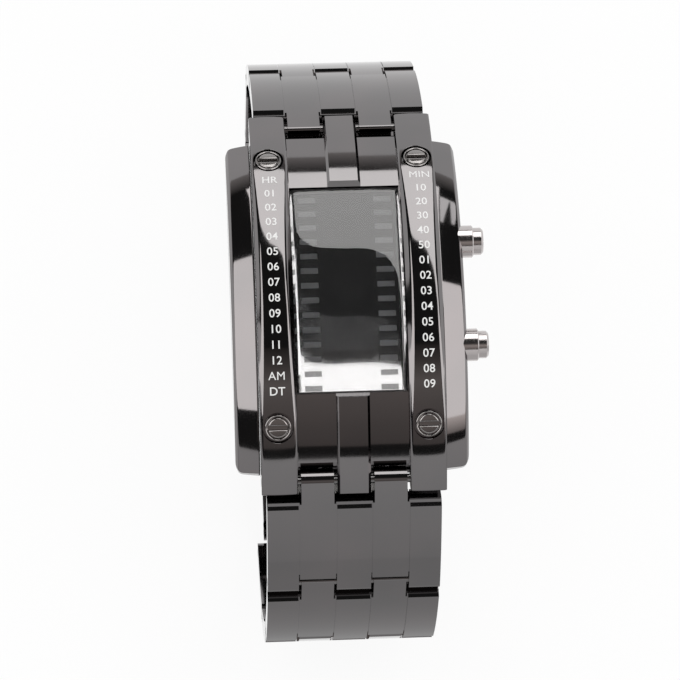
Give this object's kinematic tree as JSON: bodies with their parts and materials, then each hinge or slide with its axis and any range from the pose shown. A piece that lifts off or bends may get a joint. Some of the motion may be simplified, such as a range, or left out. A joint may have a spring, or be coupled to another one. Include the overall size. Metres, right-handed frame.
{
  "type": "binary wristwatch",
  "caption": "Wristwatch with a curved case, a window with LED bars between two rails, push buttons and a link bracelet with a fold-over clasp",
  "frame": {"origin": "on the flat outer face of the clasp cover, which the closed watch stands on, under the middle of the case", "axes": "+Z out of the face, +Y to 12 o'clock, +X to the push buttons"},
  "size_m": [0.0353, 0.0869, 0.0684],
  "materials": {
    "gunmetal_plating": "mirror-polished gunmetal plating",
    "bright_steel": "polished steel",
    "satin_steel": "brushed stainless steel",
    "dark_steel": "dark plated pins and screws",
    "mineral_glass": "clear mineral glass",
    "mask_black": "matt black film",
    "diffuser_grey": "unlit translucent grey plastic",
    "light_box_white": "white moulded plastic",
    "circuit_green": "green solder resist",
    "component_black": "black moulded epoxy",
    "led_white": "white LED package",
    "seal_rubber": "black rubber",
    "contact_brass": "gilt brass"
  },
  "bodies": {
    "case": {"case_body": "gunmetal_plating", "left_rail": "gunmetal_plating", "right_rail": "gunmetal_plating", "rail_screws": "dark_steel", "left_side_plate": "gunmetal_plating", "right_side_plate": "gunmetal_plating", "crystal": "mineral_glass", "crystal_gasket": "seal_rubber", "display_mask": "mask_black", "light_bars": "diffuser_grey", "light_box": "light_box_white", "led_board": "circuit_green", "led_chips": "led_white", "connector_strips": "seal_rubber", "main_board": "circuit_green", "controller_chip": "component_black", "quartz_can": "satin_steel", "module_frame": "component_black", "battery": "satin_steel", "button_contacts": "contact_brass", "button_seals": "seal_rubber", "case_back": "satin_steel", "back_gasket": "seal_rubber", "back_screws": "satin_steel", "upper_button_collar": "bright_steel", "lower_button_collar": "bright_steel", "upper_button_spring": "satin_steel", "lower_button_spring": "satin_steel", "upper_lug_pin": "dark_steel", "lower_lug_pin": "dark_steel"},
    "upper_button": {"upper_button": "bright_steel", "upper_button_clip": "satin_steel"},
    "lower_button": {"lower_button": "bright_steel", "lower_button_clip": "satin_steel"},
    "upper_link_1": {"upper_link_1": "gunmetal_plating", "upper_link_pin_1": "dark_steel"},
    "upper_link_2": {"upper_link_2": "gunmetal_plating", "upper_link_pin_2": "dark_steel"},
    "upper_link_3": {"upper_link_3": "gunmetal_plating", "upper_link_pin_3": "dark_steel"},
    "upper_link_4": {"upper_link_4": "gunmetal_plating", "upper_link_pin_4": "dark_steel"},
    "lower_link_1": {"lower_link_1": "gunmetal_plating", "lower_link_pin_1": "dark_steel"},
    "lower_link_2": {"lower_link_2": "gunmetal_plating", "lower_link_pin_2": "dark_steel"},
    "lower_link_3": {"lower_link_3": "gunmetal_plating", "lower_link_pin_3": "dark_steel"},
    "lower_link_4": {"lower_link_4": "gunmetal_plating", "lower_link_pin_4": "dark_steel"},
    "clasp_inner_blade": {"clasp_inner_blade": "satin_steel", "clasp_blade_pin": "satin_steel"},
    "clasp_middle_blade": {"clasp_middle_blade": "satin_steel"},
    "clasp_cover": {"clasp_cover": "gunmetal_plating", "clasp_cover_pin": "satin_steel"}
  },
  "joints": [
    {"name": "upper_button_press", "type": "slide", "parent": "case", "child": "upper_button", "axis": [-1, 0, 0], "range_m": [0, 0.0008], "stiffness_N_per_m": 400, "springref_m": -0.0005, "deforming": ["upper_button_spring"]},
    {"name": "lower_button_press", "type": "slide", "parent": "case", "child": "lower_button", "axis": [-1, 0, 0], "range_m": [0, 0.0008], "stiffness_N_per_m": 400, "springref_m": -0.0005, "deforming": ["lower_button_spring"]},
    {"name": "upper_lug_hinge", "type": "hinge", "parent": "case", "child": "upper_link_1", "pos_m": [0, 0.02538, 0.05846], "axis": [1, 0, 0], "range_deg": [0, 27]},
    {"name": "upper_link_hinge_1", "type": "hinge", "parent": "upper_link_1", "child": "upper_link_2", "pos_m": [0, 0.03673, 0.04607], "axis": [1, 0, 0], "range_deg": [0, 16]},
    {"name": "upper_link_hinge_2", "type": "hinge", "parent": "upper_link_2", "child": "upper_link_3", "pos_m": [0, 0.04343, 0.03067], "axis": [1, 0, 0], "range_deg": [0, 31]},
    {"name": "upper_link_hinge_3", "type": "hinge", "parent": "upper_link_3", "child": "upper_link_4", "pos_m": [0, 0.04028, 0.01417], "axis": [1, 0, 0], "range_deg": [0, 31]},
    {"name": "lower_lug_hinge", "type": "hinge", "parent": "case", "child": "lower_link_1", "pos_m": [0, -0.02538, 0.05846], "axis": [-1, 0, 0], "range_deg": [0, 27]},
    {"name": "lower_link_hinge_1", "type": "hinge", "parent": "lower_link_1", "child": "lower_link_2", "pos_m": [0, -0.03673, 0.04607], "axis": [-1, 0, 0], "range_deg": [0, 27]},
    {"name": "lower_link_hinge_2", "type": "hinge", "parent": "lower_link_2", "child": "lower_link_3", "pos_m": [0, -0.04036, 0.02967], "axis": [-1, 0, 0], "range_deg": [0, 27]},
    {"name": "lower_link_hinge_3", "type": "hinge", "parent": "lower_link_3", "child": "lower_link_4", "pos_m": [0, -0.03531, 0.01365], "axis": [-1, 0, 0], "range_deg": [0, 27]},
    {"name": "clasp_end_hinge", "type": "hinge", "parent": "lower_link_4", "child": "clasp_inner_blade", "pos_m": [0, -0.02292, 0.0023], "axis": [-1, 0, 0], "range_deg": [0, 27]},
    {"name": "clasp_blade_hinge", "type": "hinge", "parent": "clasp_inner_blade", "child": "clasp_middle_blade", "pos_m": [0, 0.014, 0.00265], "axis": [1, 0, 0], "range_deg": [0, 150]},
    {"name": "clasp_cover_hinge", "type": "hinge", "parent": "clasp_middle_blade", "child": "clasp_cover", "pos_m": [0, -0.01952, 0.0012], "axis": [-1, 0, 0], "range_deg": [0, 160]}
  ],
  "couplings": [
    {"joint": "upper_link_hinge_1", "follows": "upper_lug_hinge", "ratio": 0.59259},
    {"joint": "upper_link_hinge_2", "follows": "upper_lug_hinge", "ratio": 1.1481},
    {"joint": "upper_link_hinge_3", "follows": "upper_lug_hinge", "ratio": 1.1481},
    {"joint": "lower_link_hinge_1", "follows": "lower_lug_hinge", "ratio": 1},
    {"joint": "lower_link_hinge_2", "follows": "lower_lug_hinge", "ratio": 1},
    {"joint": "lower_link_hinge_3", "follows": "lower_lug_hinge", "ratio": 1},
    {"joint": "clasp_end_hinge", "follows": "lower_lug_hinge", "ratio": 1},
    {"joint": "clasp_blade_hinge", "follows": "clasp_cover_hinge", "ratio": 0.9375}
  ]
}
